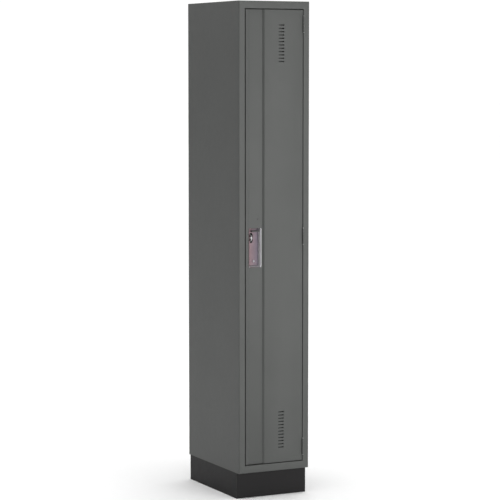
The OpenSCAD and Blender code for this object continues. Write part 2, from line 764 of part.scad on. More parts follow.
silencer(hook_z[0]);  // silencer_top
silencer(hook_z[1]);  // silencer_middle
silencer(hook_z[2]);  // silencer_bottom
channel_plug();
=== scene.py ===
import json
import math

import bmesh
import bpy
from mathutils import Matrix, Vector


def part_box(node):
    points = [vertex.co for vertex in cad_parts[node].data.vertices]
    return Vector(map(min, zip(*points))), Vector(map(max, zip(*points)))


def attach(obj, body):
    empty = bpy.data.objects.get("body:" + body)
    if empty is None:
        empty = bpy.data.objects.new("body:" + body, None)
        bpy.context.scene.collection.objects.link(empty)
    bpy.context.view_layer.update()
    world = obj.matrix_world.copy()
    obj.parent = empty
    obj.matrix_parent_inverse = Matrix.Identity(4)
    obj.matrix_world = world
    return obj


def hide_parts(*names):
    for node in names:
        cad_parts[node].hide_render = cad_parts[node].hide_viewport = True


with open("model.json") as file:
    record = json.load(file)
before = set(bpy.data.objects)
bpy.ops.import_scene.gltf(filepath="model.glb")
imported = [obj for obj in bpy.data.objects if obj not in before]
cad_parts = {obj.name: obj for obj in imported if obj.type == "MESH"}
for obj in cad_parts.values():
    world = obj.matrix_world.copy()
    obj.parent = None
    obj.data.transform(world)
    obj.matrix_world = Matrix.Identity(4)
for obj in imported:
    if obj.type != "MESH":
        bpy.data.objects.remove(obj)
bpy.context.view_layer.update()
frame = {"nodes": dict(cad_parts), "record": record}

MM = 0.001
NODES = frame["nodes"]

# ---------------------------------------------------------------- places, all taken from the frame
LEFT_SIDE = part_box("left_side_panel")
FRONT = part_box("latch_stile")[0].y
BODY_LOW = Vector((LEFT_SIDE[0].x, FRONT, LEFT_SIDE[0].z))
BODY_HIGH = Vector((-LEFT_SIDE[0].x, LEFT_SIDE[1].y, LEFT_SIDE[1].z))
STILE_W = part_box("bottom_rail")[0].x - BODY_LOW.x
DOOR_LOW, DOOR_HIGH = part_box("door_outer_pan")
DOOR_T = DOOR_HIGH.y - DOOR_LOW.y
DOOR_MID_Z = (DOOR_LOW.z + DOOR_HIGH.z) / 2
POCKET_LOW, POCKET_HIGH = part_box("handle_pocket")
STOP_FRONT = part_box("silencer_top")[1].y      # front of the flange that stops the door
HASP_Z = DOOR_MID_Z + 3.5 * MM
LEVEL_NAMES = ("top", "middle", "bottom")

# sizes of the folded parts, as the CAD has them
SHEET_T = 1.0 * MM
FRAME_T = 1.5 * MM
SKIN_T = 1.2 * MM
RAIL_H = 29.3 * MM
CORNER_RETURN = 5 * MM
WELD_FLANGE = 22 * MM
STOP_W = 13 * MM
CHANNEL_DEPTH = 6 * MM
CHANNEL_END = 73.6 * MM
STEP_W = 7.7 * MM
RIM_W = 10.6 * MM
VENT_COUNT = 12
VENT_PITCH = 12.7 * MM
VENT_L = 25.4 * MM
VENT_H = 4.3 * MM
VENT_X = 30.6 * MM
VENT_END = 59.3 * MM
POCKET_T = 1.0 * MM
LIP = 2.0 * MM
STEM_X = 46 * MM
RIVET_R = 2.0 * MM
RIVET_HEAD_R = 4.0 * MM
RIVET_HEAD_H = 1.2 * MM
RIVET_TAIL_R = 3.2 * MM
RIVET_TAIL_H = 1.0 * MM


# ---------------------------------------------------------------- outlines
def unit2(a, b):
    """Direction from a to b, two numbers each."""
    dx, dy = b[0] - a[0], b[1] - a[1]
    length = math.hypot(dx, dy)
    return dx / length, dy / length


def rounded(points, radii, steps=6):
    """An open path with its inner corners turned into arcs, with one radius for each point."""
    path = [points[0]]
    for i in range(1, len(points) - 1):
        p, r = points[i], radii[i]
        a, b = unit2(p, points[i - 1]), unit2(p, points[i + 1])
        cosine = max(-1.0, min(1.0, a[0] * b[0] + a[1] * b[1]))
        half = math.acos(cosine) / 2
        if r <= 0 or half > math.radians(89.5):
            path.append(p)
            continue
        reach = r / math.tan(half)
        bis = (a[0] + b[0], a[1] + b[1])
        size = math.hypot(*bis)
        centre = (p[0] + bis[0] / size * r / math.sin(half), p[1] + bis[1] / size * r / math.sin(half))
        start = math.atan2(p[1] + a[1] * reach - centre[1], p[0] + a[0] * reach - centre[0])
        end = math.atan2(p[1] + b[1] * reach - centre[1], p[0] + b[0] * reach - centre[0])
        turn = (end - start + math.pi) % (2 * math.pi) - math.pi
        for k in range(steps + 1):
            angle = start + turn * k / steps
            path.append((centre[0] + r * math.cos(angle), centre[1] + r * math.sin(angle)))
    path.append(points[-1])
    return path


def shifted(path, distance):
    """The open path moved sideways, to the left where distance is positive."""
    moved = []
    for i, p in enumerate(path):
        before = unit2(path[i - 1], p) if i else None
        after = unit2(p, path[i + 1]) if i < len(path) - 1 else None
        d0 = before or after
        d1 = after or before
        n0, n1 = (-d0[1], d0[0]), (-d1[1], d1[0])
        scale = distance / (1 + n0[0] * n1[0] + n0[1] * n1[1])
        moved.append((p[0] + (n0[0] + n1[0]) * scale, p[1] + (n0[1] + n1[1]) * scale))
    return moved


def round_rect(x0, x1, z0, z1, r, steps=6):
    """Corners of a rectangle with round corners, anticlockwise."""
    ring = []
    corners = ((x1 - r, z1 - r), (x0 + r, z1 - r), (x0 + r, z0 + r), (x1 - r, z0 + r))
    for quarter, (cx, cz) in enumerate(corners):
        for k in range(steps + 1):
            angle = math.pi / 2 * (quarter + k / steps)
            ring.append((cx + r * math.cos(angle), cz + r * math.sin(angle)))
    return ring


def slot_ring(length, height, steps=10):
    return round_rect(-length / 2, length / 2, -height / 2, height / 2, height / 2 - 1e-6, steps)


# ---------------------------------------------------------------- meshes
def smooth_shading(bm, degrees=35):
    """Smooth faces, except across edges sharper than that."""
    limit = math.radians(degrees)
    for f in bm.faces:
        f.smooth = True
    for e in bm.edges:
        e.smooth = len(e.link_faces) == 2 and e.calc_face_angle(0) < limit


def finish_mesh(name, bm, degrees=35):
    """A mesh object from bm, with its faces turned outwards and shaded smooth."""
    bmesh.ops.remove_doubles(bm, verts=bm.verts, dist=1e-7)
    bmesh.ops.recalc_face_normals(bm, faces=bm.faces)
    smooth_shading(bm, degrees)
    mesh = bpy.data.meshes.new(name)
    bm.to_mesh(mesh)
    bm.free()
    obj = bpy.data.objects.new(name, mesh)
    bpy.context.scene.collection.objects.link(obj)
    return obj


def add_prism(bm, ring, place, low, high):
    """A closed prism on a ring of (u, v), where place(u, v, w) gives the point."""
    sides = [[bm.verts.new(place(u, v, w)) for u, v in ring] for w in (low, high)]
    count = len(ring)
    for i in range(count):
        j = (i + 1) % count
        bm.faces.new((sides[0][i], sides[0][j], sides[1][j], sides[1][i]))
    bm.faces.new(sides[0][::-1])
    bm.faces.new(sides[1])


def add_loft(bm, rings, closed_start=True, closed_end=True):
    """Skin over rings of points that all have the same count."""
    made = [[bm.verts.new(p) for p in ring] for ring in rings]
    count = len(rings[0])
    for a, b in zip(made, made[1:]):
        for i in range(count):
            j = (i + 1) % count
            bm.faces.new((a[i], a[j], b[j], b[i]))
    if closed_start:
        bm.faces.new(made[0][::-1])
    if closed_end:
        bm.faces.new(made[-1])


def facing_front(x, y, z):
    """Place for add_prism: the ring is (x, z) and the prism runs along y."""
    return lambda u, v, w: Vector((x + u, y + w, z + v))


def upright(u, v, w):
    """Place for add_prism: the ring is (x, y) and the prism runs up."""
    return Vector((u, v, w))


def cut(obj, cutter_bm):
    """Takes the cutter's volume out of obj, and makes that and any modifier before it permanent."""
    cutter = finish_mesh("cutter", cutter_bm)
    modifier = obj.modifiers.new("cut", "BOOLEAN")
    modifier.operation = "DIFFERENCE"
    modifier.solver = "EXACT"
    modifier.object = cutter
    bpy.context.view_layer.update()
    mesh = bpy.data.meshes.new_from_object(obj.evaluated_get(bpy.context.evaluated_depsgraph_get()))
    obj.modifiers.clear()
    obj.data = mesh
    bpy.data.objects.remove(cutter)
    bm = bmesh.new()
    bm.from_mesh(mesh)
    smooth_shading(bm)
    bm.to_mesh(mesh)
    bm.free()
    return obj


def cylinder_ring(r, steps=32):
    angles = [2 * math.pi * k / steps for k in range(steps)]
    return [(r * math.cos(a), r * math.sin(a)) for a in angles]


def add_turned(bm, profile, origin, axis, steps=32):
    """Turns a profile of (radius, height) about an axis through origin. It starts and ends on the axis."""
    turn = Vector((0, 0, 1)).rotation_difference(Vector(axis)).to_matrix()
    origin = Vector(origin)
    rings = []
    for r, h in profile:
        if r < 1e-7:
            rings.append([bm.verts.new(origin + turn @ Vector((0, 0, h)))])
        else:
            circle = cylinder_ring(r, steps)
            rings.append([bm.verts.new(origin + turn @ Vector((x, y, h))) for x, y in circle])
    for a, b in zip(rings, rings[1:]):
        for i in range(steps):
            j = (i + 1) % steps
            if len(a) == 1:
                bm.faces.new((a[0], b[j], b[i]))
            elif len(b) == 1:
                bm.faces.new((a[i], a[j], b[0]))
            else:
                bm.faces.new((a[i], a[j], b[j], b[i]))


def dome(r, h, rim=0.25, steps=8):
    """Profile of a domed head that stands on height 0; rim is the straight share of its height."""
    profile = [(r, 0.0)]
    for k in range(steps + 1):
        angle = math.pi / 2 * k / steps
        profile.append((r * math.cos(angle) if k < steps else 0.0, h * (rim + (1 - rim) * math.sin(angle))))
    return profile


def rivet_profile(grip):
    """A set rivet from its tail to its domed head, whose underside is at height 0."""
    end = -grip - RIVET_TAIL_H
    tail = [(0.0, end), (RIVET_TAIL_R * 0.8, end), (RIVET_TAIL_R, end + RIVET_TAIL_H * 0.4)]
    shank = [(RIVET_TAIL_R, -grip), (RIVET_R, -grip), (RIVET_R, 0.0)]
    return tail + shank + dome(RIVET_HEAD_R, RIVET_HEAD_H)


def soften(obj, width):
    """Breaks the sharp edges of a piece by that many mm."""
    edge = obj.modifiers.new("edges", "BEVEL")
    edge.width = width * MM
    edge.segments = 2
    edge.limit_method = "ANGLE"
    edge.angle_limit = math.radians(40)
    edge.use_clamp_overlap = False


def centre(name):
    low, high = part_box(name)
    return (low + high) / 2


# ---------------------------------------------------------------- materials
def new_material(name, colour, roughness, metallic=0.0, specular=0.5):
    m = bpy.data.materials.new(name)
    m.use_nodes = True
    shader = m.node_tree.nodes["Principled BSDF"]
    shader.inputs["Base Color"].default_value = (*colour, 1)
    shader.inputs["Roughness"].default_value = roughness
    shader.inputs["Metallic"].default_value = metallic
    shader.inputs["Specular IOR Level"].default_value = specular
    return m


def node(m, kind, **values):
    n = m.node_tree.nodes.new(kind)
    for key, value in values.items():
        if key in n.inputs:
            n.inputs[key].default_value = value
        else:
            setattr(n, key, value)
    return n


def link(m, a, out, b, into):
    m.node_tree.links.new(a.outputs[out], b.inputs[into])


def noise(m, scale, detail=2.0, stretch=(1, 1, 1)):
    """Noise on the object's own coordinates; scale is in waves per metre."""
    place = node(m, "ShaderNodeTexCoord")
    mapping = node(m, "ShaderNodeMapping")
    mapping.inputs["Scale"].default_value = stretch
    texture = node(m, "ShaderNodeTexNoise")
    texture.inputs["Scale"].default_value = scale
    texture.inputs["Detail"].default_value = detail
    link(m, place, "Object", mapping, "Vector")
    link(m, mapping, "Vector", texture, "Vector")
    return texture


def along(m, space, axis, start, end, low=0.0, high=1.0):
    """A value that runs from low to high between two places on an axis of that space."""
    parts = node(m, "ShaderNodeSeparateXYZ")
    link(m, node(m, "ShaderNodeTexCoord"), space, parts, "Vector")
    run = node(m, "ShaderNodeMapRange")
    for key, value in (("From Min", start), ("From Max", end), ("To Min", low), ("To Max", high)):
        run.inputs[key].default_value = value
    link(m, parts, axis, run, "Value")
    return run


def ramp(m, source, low, high, start=0.35, end=0.65):
    """A colour ramp from low to high between two values of the source."""
    r = node(m, "ShaderNodeValToRGB")
    r.color_ramp.elements[0].position = start
    r.color_ramp.elements[1].position = end
    r.color_ramp.elements[0].color = (*low, 1)
    r.color_ramp.elements[1].color = (*high, 1)
    link(m, source, 0, r, "Fac")
    return r


def bump(m, source, strength, distance, under=None):
    b = node(m, "ShaderNodeBump")
    b.inputs["Strength"].default_value = strength
    b.inputs["Distance"].default_value = distance
    link(m, source, "Fac", b, "Height")
    if under:
        link(m, under, "Normal", b, "Normal")
    return b


def shade(c, f):
    return tuple(v * f for v in c)


def grade(m, source, target, low, high):
    """Drives a shader input between two values by a texture."""
    r = node(m, "ShaderNodeMapRange")
    r.inputs["To Min"].default_value = low
    r.inputs["To Max"].default_value = high
    link(m, source, "Fac", r, "Value")
    link(m, r, "Result", m.node_tree.nodes["Principled BSDF"], target)


def powder_coat(name, colour, roughness, specular):
    """Sprayed powder: fine orange peel, faint clouds of tone, and slow waves of the sheet."""
    m = new_material(name, colour, roughness, specular=specular)
    shader = m.node_tree.nodes["Principled BSDF"]
    clouds = noise(m, 5, 3)
    tone = ramp(m, clouds, shade(colour, 0.97), shade(colour, 1.03))
    link(m, tone, "Color", shader, "Base Color")
    peel = noise(m, 620, 2)
    grain = noise(m, 2600, 2)
    waves = noise(m, 7, 1, (1, 1, 0.4))
    slow = bump(m, waves, 0.12, 0.002)
    skin = bump(m, peel, 0.16, 0.0002, slow)
    fine = bump(m, grain, 0.10, 0.00005, skin)
    link(m, fine, "Normal", shader, "Normal")
    grade(m, noise(m, 40, 2), "Roughness", roughness - 0.04, roughness + 0.05)
    return m


def drawn_steel(name, colour, roughness, stretch, streak=900, metallic=1.0):
    """Bare steel with fine streaks along the direction in which stretch is small."""
    m = new_material(name, colour, roughness, metallic=metallic)
    shader = m.node_tree.nodes["Principled BSDF"]
    streaks = noise(m, streak, 3, stretch)
    tone = ramp(m, streaks, shade(colour, 0.93), shade(colour, 1.06))
    link(m, tone, "Color", shader, "Base Color")
    fine = bump(m, streaks, 0.10, 0.00004)
    smudge = bump(m, noise(m, 35, 2), 0.10, 0.0006, fine)
    link(m, smudge, "Normal", shader, "Normal")
    grade(m, noise(m, 90, 3), "Roughness", roughness - 0.05, roughness + 0.07)
    return m


def recolour(m, operation, source, into):
    """Puts a vector operation with the source between the finish and the shader."""
    shader = m.node_tree.nodes["Principled BSDF"]
    finish = shader.inputs["Base Color"].links[0].from_node
    mixed = node(m, "ShaderNodeVectorMath", operation=operation)
    link(m, finish, "Color", mixed, 0)
    link(m, source, 0, mixed, into)
    link(m, mixed, "Vector", shader, "Base Color")


def paint_shade_beyond(m, depth, side):
    """Darkens the finish past that depth as painted shade, on its back side (1) or on its front side (-1).
    """
    recolour(m, "SCALE", along(m, "Object", "Y", depth, depth + side * 0.5 * MM, 1.0, 0.03), "Scale")


def paint_reflection_across(m, start, end, low, high):
    """Multiplies the finish along x by a tint from one factor to another: a painted reflection, as the
    sides of a studio show on a plate.
    """
    recolour(m, "MULTIPLY", ramp(m, along(m, "Object", "X", start, end), low, high, 0.0, 1.0), 1)


def moulded(name, colour, roughness, scale=1500):
    """Moulded plastic or rubber with a fine spark-eroded grain."""
    m = new_material(name, colour, roughness)
    shader = m.node_tree.nodes["Principled BSDF"]
    grain = noise(m, scale, 2)
    tone = ramp(m, noise(m, 60, 2), shade(colour, 0.9), shade(colour, 1.1))
    link(m, tone, "Color", shader, "Base Color")
    link(m, bump(m, grain, 0.35, 0.00008), "Normal", shader, "Normal")
    grade(m, noise(m, 200, 2), "Roughness", roughness - 0.05, roughness + 0.08)
    return m


BODY_GREY = (0.0652, 0.0684, 0.0652)
PAINT = powder_coat("body_powder_coat", BODY_GREY, 0.46, 0.34)
# the same powder coat, whose face inside the door is darkened below as painted shade
INNER_PAINT_AND_SHADE = powder_coat("inner_pan_coat_and_painted_shade", BODY_GREY, 0.46, 0.34)
# a dark coat for the stiffener that shows through the vent slots: painted shade of the slots' depth
STIFFENER_PAINTED_SHADE = powder_coat("stiffener_painted_shade_coat", (0.027, 0.028, 0.027), 0.6, 0.12)
BASE_PAINT = powder_coat("base_powder_coat", (0.0088, 0.0080, 0.0084), 0.5, 0.18)
# its dark pinkish colour, and the tint laid across it in pocket(), stand for the studio it reflects:
# painted reflection
STAINLESS = drawn_steel("pocket_back_steel", (0.091, 0.070, 0.076), 0.38, (1, 1, 0.05))
# lighter copies of the pocket's steel for its right and bottom walls: painted highlights
WALL_STEEL_PAINTED_HIGHLIGHT = drawn_steel("pocket_wall_painted_highlight", (0.72, 0.72, 0.74), 0.5, (1, 1, 0.2), metallic=0.5)
SILL_STEEL_PAINTED_HIGHLIGHT = drawn_steel("pocket_sill_painted_highlight", (0.45, 0.44, 0.46), 0.5, (0.2, 1, 1), metallic=0.5)
BRIGHT_STEEL_AND_SHADE = drawn_steel("hasp_stainless_steel_and_painted_shade", (0.66, 0.66, 0.67), 0.4, (1, 1, 0.3), metallic=0.55)
ZINC = drawn_steel("zinc_plate", (0.56, 0.57, 0.58), 0.32, (1, 1, 1), 300)
DULL_ZINC = drawn_steel("dull_zinc_plate", (0.32, 0.315, 0.335), 0.5, (1, 1, 1), 300)
ABS = moulded("black_abs", (0.014, 0.014, 0.014), 0.42)
NYLON = moulded("natural_nylon", (0.62, 0.60, 0.52), 0.45)
RUBBER = moulded("black_rubber", (0.018, 0.018, 0.018), 0.7, 700)

SLOT_MATERIALS = {
    "body_paint": PAINT, "base_paint": BASE_PAINT, "pocket_stainless": STAINLESS, "zinc_steel": ZINC,
    "black_plastic": ABS, "guide_nylon": NYLON, "bumper_rubber": RUBBER,
}

NODE_MATERIALS = {
    "padlock_hasp": BRIGHT_STEEL_AND_SHADE, "lift_trigger": STAINLESS, "door_stiffener": STIFFENER_PAINTED_SHADE,
    "door_inner_pan": INNER_PAINT_AND_SHADE,
}


def piece(obj, body, material, replaced=()):
    """Gives a new piece its finish and its body, and hides the CAD nodes that it stands for."""
    obj.data.materials.clear()
    obj.data.materials.append(material)
    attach(obj, body)
    if replaced:
        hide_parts(*replaced)


# ---------------------------------------------------------------- the CAD nodes that stay
SMALL_EDGE = 0.2
EDGES = {  # how far the edges of the larger sheets are broken, in mm; the others have the small edge
    "left_side_panel": 0.25, "right_side_panel": 0.25, "top_panel": 0.25, "bottom_panel": 0.25,
    "hat_shelf": 0.3, "door_inner_pan": 0.25, "door_stiffener": 0.25,
    "base_front": 0.5, "base_back": 0.5, "base_left": 0.5, "base_right": 0.5,
}


def dress_cad_nodes():
    slots = {s["node"]: s["material_slot"] for s in frame["record"]["subparts"]}
    for name, obj in NODES.items():
        obj.data.materials.clear()
        obj.data.materials.append(NODE_MATERIALS.get(name, SLOT_MATERIALS[slots[name]]))
        soften(obj, EDGES.get(name, SMALL_EDGE))
    # the hasp keeps its bright steel where it shows in the pocket; behind the pocket's back it is darkened,
    # and so is the inner pan's face inside the door: painted shade of the door's hollow
    back = Vector((0, POCKET_HIGH.y - POCKET_T, 0))
    paint_shade_beyond(BRIGHT_STEEL_AND_SHADE, (NODES["padlock_hasp"].matrix_world.inverted() @ back).y, 1)
    pan_face = Vector((0, DOOR_HIGH.y - 0.3 * MM, 0))
    paint_shade_beyond(INNER_PAINT_AND_SHADE, (NODES["door_inner_pan"].matrix_world.inverted() @ pan_face).y, -1)


# ---------------------------------------------------------------- front frame, welded into one piece
def frame_outline(face_w):
    """Closed outline of the frame's sheet: u runs inwards from the outer plane, v is the depth."""
    stop = STOP_FRONT - FRONT
    path = [
        (SHEET_T, WELD_FLANGE), (SHEET_T, CORNER_RETURN), (0, CORNER_RETURN), (0, 0),
        (face_w, 0), (face_w, stop), (face_w + STOP_W, stop),
    ]
    radii = [0, 0.4 * MM, 0, 2.6 * MM, 2.0 * MM, 0.5 * MM, 0]
    outer = rounded(path, radii)
    # the outer face of the stop flange turns the other way, so its sheet is drawn behind it
    inner = rounded([
        (SHEET_T + FRAME_T, WELD_FLANGE), (SHEET_T + FRAME_T, CORNER_RETURN - FRAME_T),
        (FRAME_T, CORNER_RETURN - FRAME_T), (FRAME_T, FRAME_T), (face_w - FRAME_T, FRAME_T),
        (face_w - FRAME_T, stop + FRAME_T), (face_w + STOP_W, stop + FRAME_T),
    ], [0, 0.4 * MM, 0.3 * MM, 1.1 * MM, 0.5 * MM, 1.5 * MM, 0])
    return outer + inner[::-1]


def front_frame():
    upright_outline = frame_outline(STILE_W)
    level_outline = frame_outline(RAIL_H)
    rings = []
    for sx, sz in ((-1, -1), (1, -1), (1, 1), (-1, 1)):
        edge_x = BODY_HIGH.x if sx > 0 else BODY_LOW.x
        edge_z = BODY_HIGH.z if sz > 0 else BODY_LOW.z
        rings.append([
            Vector((edge_x - sx * a[0], FRONT + a[1], edge_z - sz * b[0]))
            for a, b in zip(upright_outline, level_outline)])
    bm = bmesh.new()
    add_loft(bm, rings + [rings[0]], False, False)
    obj = finish_mesh("front_frame", bm)
    # a slit in the stop flange for the plate of each hook
    cutter = bmesh.new()
    for name in LEVEL_NAMES:
        low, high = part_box("frame_hook_" + name)
        plate_left = high.x - 2.2 * MM
        slit = round_rect(plate_left, high.x + 0.2 * MM, low.z + 17.8 * MM, high.z - 17.8 * MM, 0.8 * MM)
        add_prism(cutter, slit, facing_front(0, 0, 0), STOP_FRONT - 2 * MM, STOP_FRONT + 4 * MM)
    piece(cut(obj, cutter), "cabinet", PAINT,
          ("latch_stile", "hinge_stile", "top_rail", "bottom_rail"))


# ---------------------------------------------------------------- door skin
def door_path():
    """Outer face of the door skin, from the back of the hinge side to the back of the latch side."""
    rim = DOOR_LOW.x + RIM_W
    foot = DOOR_LOW.x + CHANNEL_END
    points = [
        (DOOR_HIGH.x, FRONT + DOOR_T), (DOOR_HIGH.x, FRONT), (foot + STEP_W, FRONT),
        (foot, FRONT + CHANNEL_DEPTH), (rim + 2 * MM, FRONT + CHANNEL_DEPTH), (rim, FRONT),
        (DOOR_LOW.x, FRONT), (DOOR_LOW.x, FRONT + DOOR_T),
    ]
    return rounded(points, [0, 1.6 * MM, 4 * MM, 3 * MM, 2 * MM, 2.4 * MM, 1.6 * MM, 0])


def vent_places():
    for k in range(VENT_COUNT):
        yield DOOR_HIGH.z - VENT_END - k * VENT_PITCH
        yield DOOR_LOW.z + VENT_END + k * VENT_PITCH


def door_skin():
    path = door_path()
    fold = 1.4 * MM
    steps = 5
    levels = []
    for k in range(steps + 1):
        angle = math.pi / 2 * k / steps
        levels.append((fold * (1 - math.sin(angle)), fold * (1 - math.cos(angle))))
    outline = []
    for inset, height in levels:
        outline.append((shifted(path, -inset), DOOR_LOW.z + height))
    for inset, height in reversed(levels):
        outline.append((shifted(path, -inset), DOOR_HIGH.z - height))
    bm = bmesh.new()
    skin = [[bm.verts.new((x, y, z)) for x, y in ring] for ring, z in outline]
    inside_path = shifted(path, -SKIN_T)
    inside = []
    for z in (DOOR_LOW.z + SKIN_T, DOOR_HIGH.z - SKIN_T):
        inside.append([bm.verts.new((x, y, z)) for x, y in inside_path])
    count = len(path)
    for a, b in zip(skin, skin[1:]):
        for i in range(count - 1):
            bm.faces.new((a[i], a[i + 1], b[i + 1], b[i]))
    for i in range(count - 1):
        bm.faces.new((inside[0][i + 1], inside[0][i], inside[1][i], inside[1][i + 1]))
    for ends in (skin[0][::-1], skin[-1], inside[0], inside[1][::-1]):
        bm.faces.new(ends)
    back_edge = [[ring[0] for ring in skin], [ring[-1] for ring in skin]]
    bm.faces.new(back_edge[0] + [inside[1][0], inside[0][0]])
    bm.faces.new(back_edge[1][::-1] + [inside[0][-1], inside[1][-1]])
    bm.faces.new((skin[0][0], inside[0][0], inside[0][-1], skin[0][-1]))
    bm.faces.new((skin[-1][-1], inside[1][-1], inside[1][0], skin[-1][0]))
    obj = finish_mesh("door_skin", bm)

    cutter = bmesh.new()
    for z in vent_places():
        add_prism(cutter, slot_ring(VENT_L, VENT_H), facing_front(VENT_X, FRONT, z), -1 * MM, 4 * MM)
    play = 0.7 * MM
    add_prism(cutter, round_rect(POCKET_LOW.x + play, POCKET_HIGH.x - play, POCKET_LOW.z + play,
                                 POCKET_HIGH.z - play, 2 * MM),
              facing_front(0, FRONT + CHANNEL_DEPTH, 0), -3 * MM, 4 * MM)
    plug = centre("channel_plug")
    add_prism(cutter, cylinder_ring(1.75 * MM), facing_front(plug.x, FRONT + CHANNEL_DEPTH, plug.z),
              -3 * MM, 4 * MM)
    piece(cut(obj, cutter), "door", PAINT, ("door_outer_pan",))


# ---------------------------------------------------------------- pocket
def pocket():
    """The drawn pocket: a lip on the channel's floor, walls that lean in, and a filleted floor."""
    lip_front = POCKET_LOW.y
    floor = POCKET_HIGH.y - POCKET_T
    x0, x1, z0, z1 = POCKET_LOW.x, POCKET_HIGH.x, POCKET_LOW.z, POCKET_HIGH.z
    # how far each side has come in at the mouth and at the floor: left, right, bottom, top
    mouth = (LIP, LIP, LIP, LIP)
    foot = (LIP + 2 * MM, LIP + 3 * MM, LIP + 3 * MM, LIP + 0.5 * MM)
    roll = 1.0 * MM
    fillet = 2.5 * MM
    corner = 2.2 * MM

    def ring(y, inset, r, extra=0.0):
        left, right, bottom, top = [i + extra for i in inset]
        corners = round_rect(x0 + left, x1 - right, z0 + bottom, z1 - top, r, 8)
        return [Vector((x, y, z)) for x, z in corners]

    def between(t):
        return tuple(m + (f - m) * t for m, f in zip(mouth, foot))

    lip_edge = (0, 0, 0, 0)
    rings = [ring(lip_front + 1.0 * MM, lip_edge, 3 * MM), ring(lip_front + 0.3 * MM, lip_edge, 3 * MM),
             ring(lip_front, lip_edge, 2.7 * MM, 0.3 * MM)]
    steps = 5
    for k in range(steps + 1):
        angle = math.pi / 2 * k / steps
        drop = roll * (1 - math.cos(angle))
        rings.append(ring(lip_front + drop, mouth, corner, -roll * (1 - math.sin(angle))))
    wall = floor - fillet - lip_front - roll
    for k in range(1, 5):
        rings.append(ring(lip_front + roll + wall * k / 4, between(k / 4), corner))
    for k in range(1, steps + 1):
        angle = math.pi / 2 * k / steps
        rings.append(ring(floor - fillet * (1 - math.sin(angle)), foot, corner - fillet * 0.3 * k / steps,
                          fillet * (1 - math.cos(angle))))
    bm = bmesh.new()
    add_loft(bm, rings, False, True)
    obj = finish_mesh("drawn_pocket", bm, 50)
    thick = obj.modifiers.new("sheet", "SOLIDIFY")
    thick.thickness = POCKET_T * 0.9
    thick.offset = 1.0 if obj.data.polygons[-1].normal.y > 0 else -1.0
    # the floor's holes: for the hasp, for the stem of the finger piece and for the screw
    cutter = bmesh.new()
    hasp_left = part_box("padlock_hasp")[0].x
    add_prism(cutter, d_hole_ring(), facing_front(hasp_left - 0.5 * MM, floor, HASP_Z), -1 * MM, 4 * MM)
    stem, under = DOOR_LOW.x + STEM_X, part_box("trigger_cover")[0].z
    add_prism(cutter, round_rect(stem - 11 * MM, stem + 11 * MM, under + 1 * MM, under + 11 * MM, 1 * MM),
              facing_front(0, floor, 0), -1 * MM, 4 * MM)
    screw = centre("pocket_screw")
    add_prism(cutter, cylinder_ring(2.6 * MM), facing_front(screw.x, floor, screw.z), -0.5 * MM, 4 * MM)
    cut(obj, cutter)
    piece(obj, "door", STAINLESS, ("handle_pocket",))
    # the right wall gets the lightest copy of the steel and the bottom wall a lighter one, as painted
    # highlights of the light these walls catch; the rest keeps its brushed finish
    obj.data.materials.append(WALL_STEEL_PAINTED_HIGHLIGHT)
    obj.data.materials.append(SILL_STEEL_PAINTED_HIGHLIGHT)
    # lighter and warm on the left, darker and cool on the right: painted reflection of the studio's sides
    paint_reflection_across(STAINLESS, x0 + foot[0], x1 - foot[1], (1.2, 1.08, 1.05), (0.75, 0.87, 0.98))
    for face in obj.data.polygons:
        if face.center.x > x1 - foot[1] - 0.5 * MM:
            face.material_index = 1
        elif z0 + 0.9 * LIP < face.center.z < z0 + foot[2] + 0.5 * MM:
            face.material_index = 2


def d_hole_ring():
    """D shaped hole with soft corners, its straight side at u = 0 and its middle at v = 0."""
    width, height = 12.5 * MM, 40 * MM
    ring = []
    for quarter, r in enumerate((9.5 * MM, 2.9 * MM, 2.9 * MM, 9.5 * MM)):
        cx = width - r if quarter in (0, 3) else r
        cz = height / 2 - r if quarter < 2 else r - height / 2
        for k in range(11):
            angle = math.pi / 2 * (quarter + k / 10)
            ring.append((cx + r * math.cos(angle), cz + r * math.sin(angle)))
    return ring


# ---------------------------------------------------------------- latch and trim of the pocket
def trigger_cover():
    """Moulded finger piece with soft edges and three grip grooves under it."""
    low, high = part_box("trigger_cover")
    low += Vector((0.4 * MM, 0, 0.2 * MM))
    high -= Vector((0.4 * MM, 0, 0.2 * MM))
    depth, height = high.y - low.y, high.z - low.z
    middle = (low + high) / 2
    bm = bmesh.new()
    rings = []
    soft = 1.4 * MM
    steps = 6
    # each section's place along the bar, and how far it has drawn in from the full section
    spans = []
    for k in range(steps + 1):
        angle = math.pi / 2 * k / steps
        spans.append((low.x + soft * (1 - math.cos(angle)), soft * (1 - math.sin(angle))))
    spans += [(low.x + high.x - x, drawn) for x, drawn in reversed(spans)]
    for x, drawn in spans:
        ring = round_rect(-depth / 2 + drawn, depth / 2, -height / 2 + drawn, height / 2 - drawn, 1.4 * MM)
        rings.append([Vector((x, middle.y + u, middle.z + v)) for u, v in ring])
    add_loft(bm, rings)
    cover = finish_mesh("finger_cover", bm)
    cutter = bmesh.new()
    for k in range(3):
        y = low.y + (1.8 + 1.4 * k) * MM
        add_prism(cutter, round_rect(-0.45 * MM, 0.45 * MM, -0.5 * MM, 0.5 * MM, 0.3 * MM, 3),
                  lambda u, v, w, y=y: Vector((w, y + u, low.z + v)), low.x + 4 * MM, high.x - 4 * MM)
    piece(cut(cover, cutter), "trigger", ABS, ("trigger_cover",))


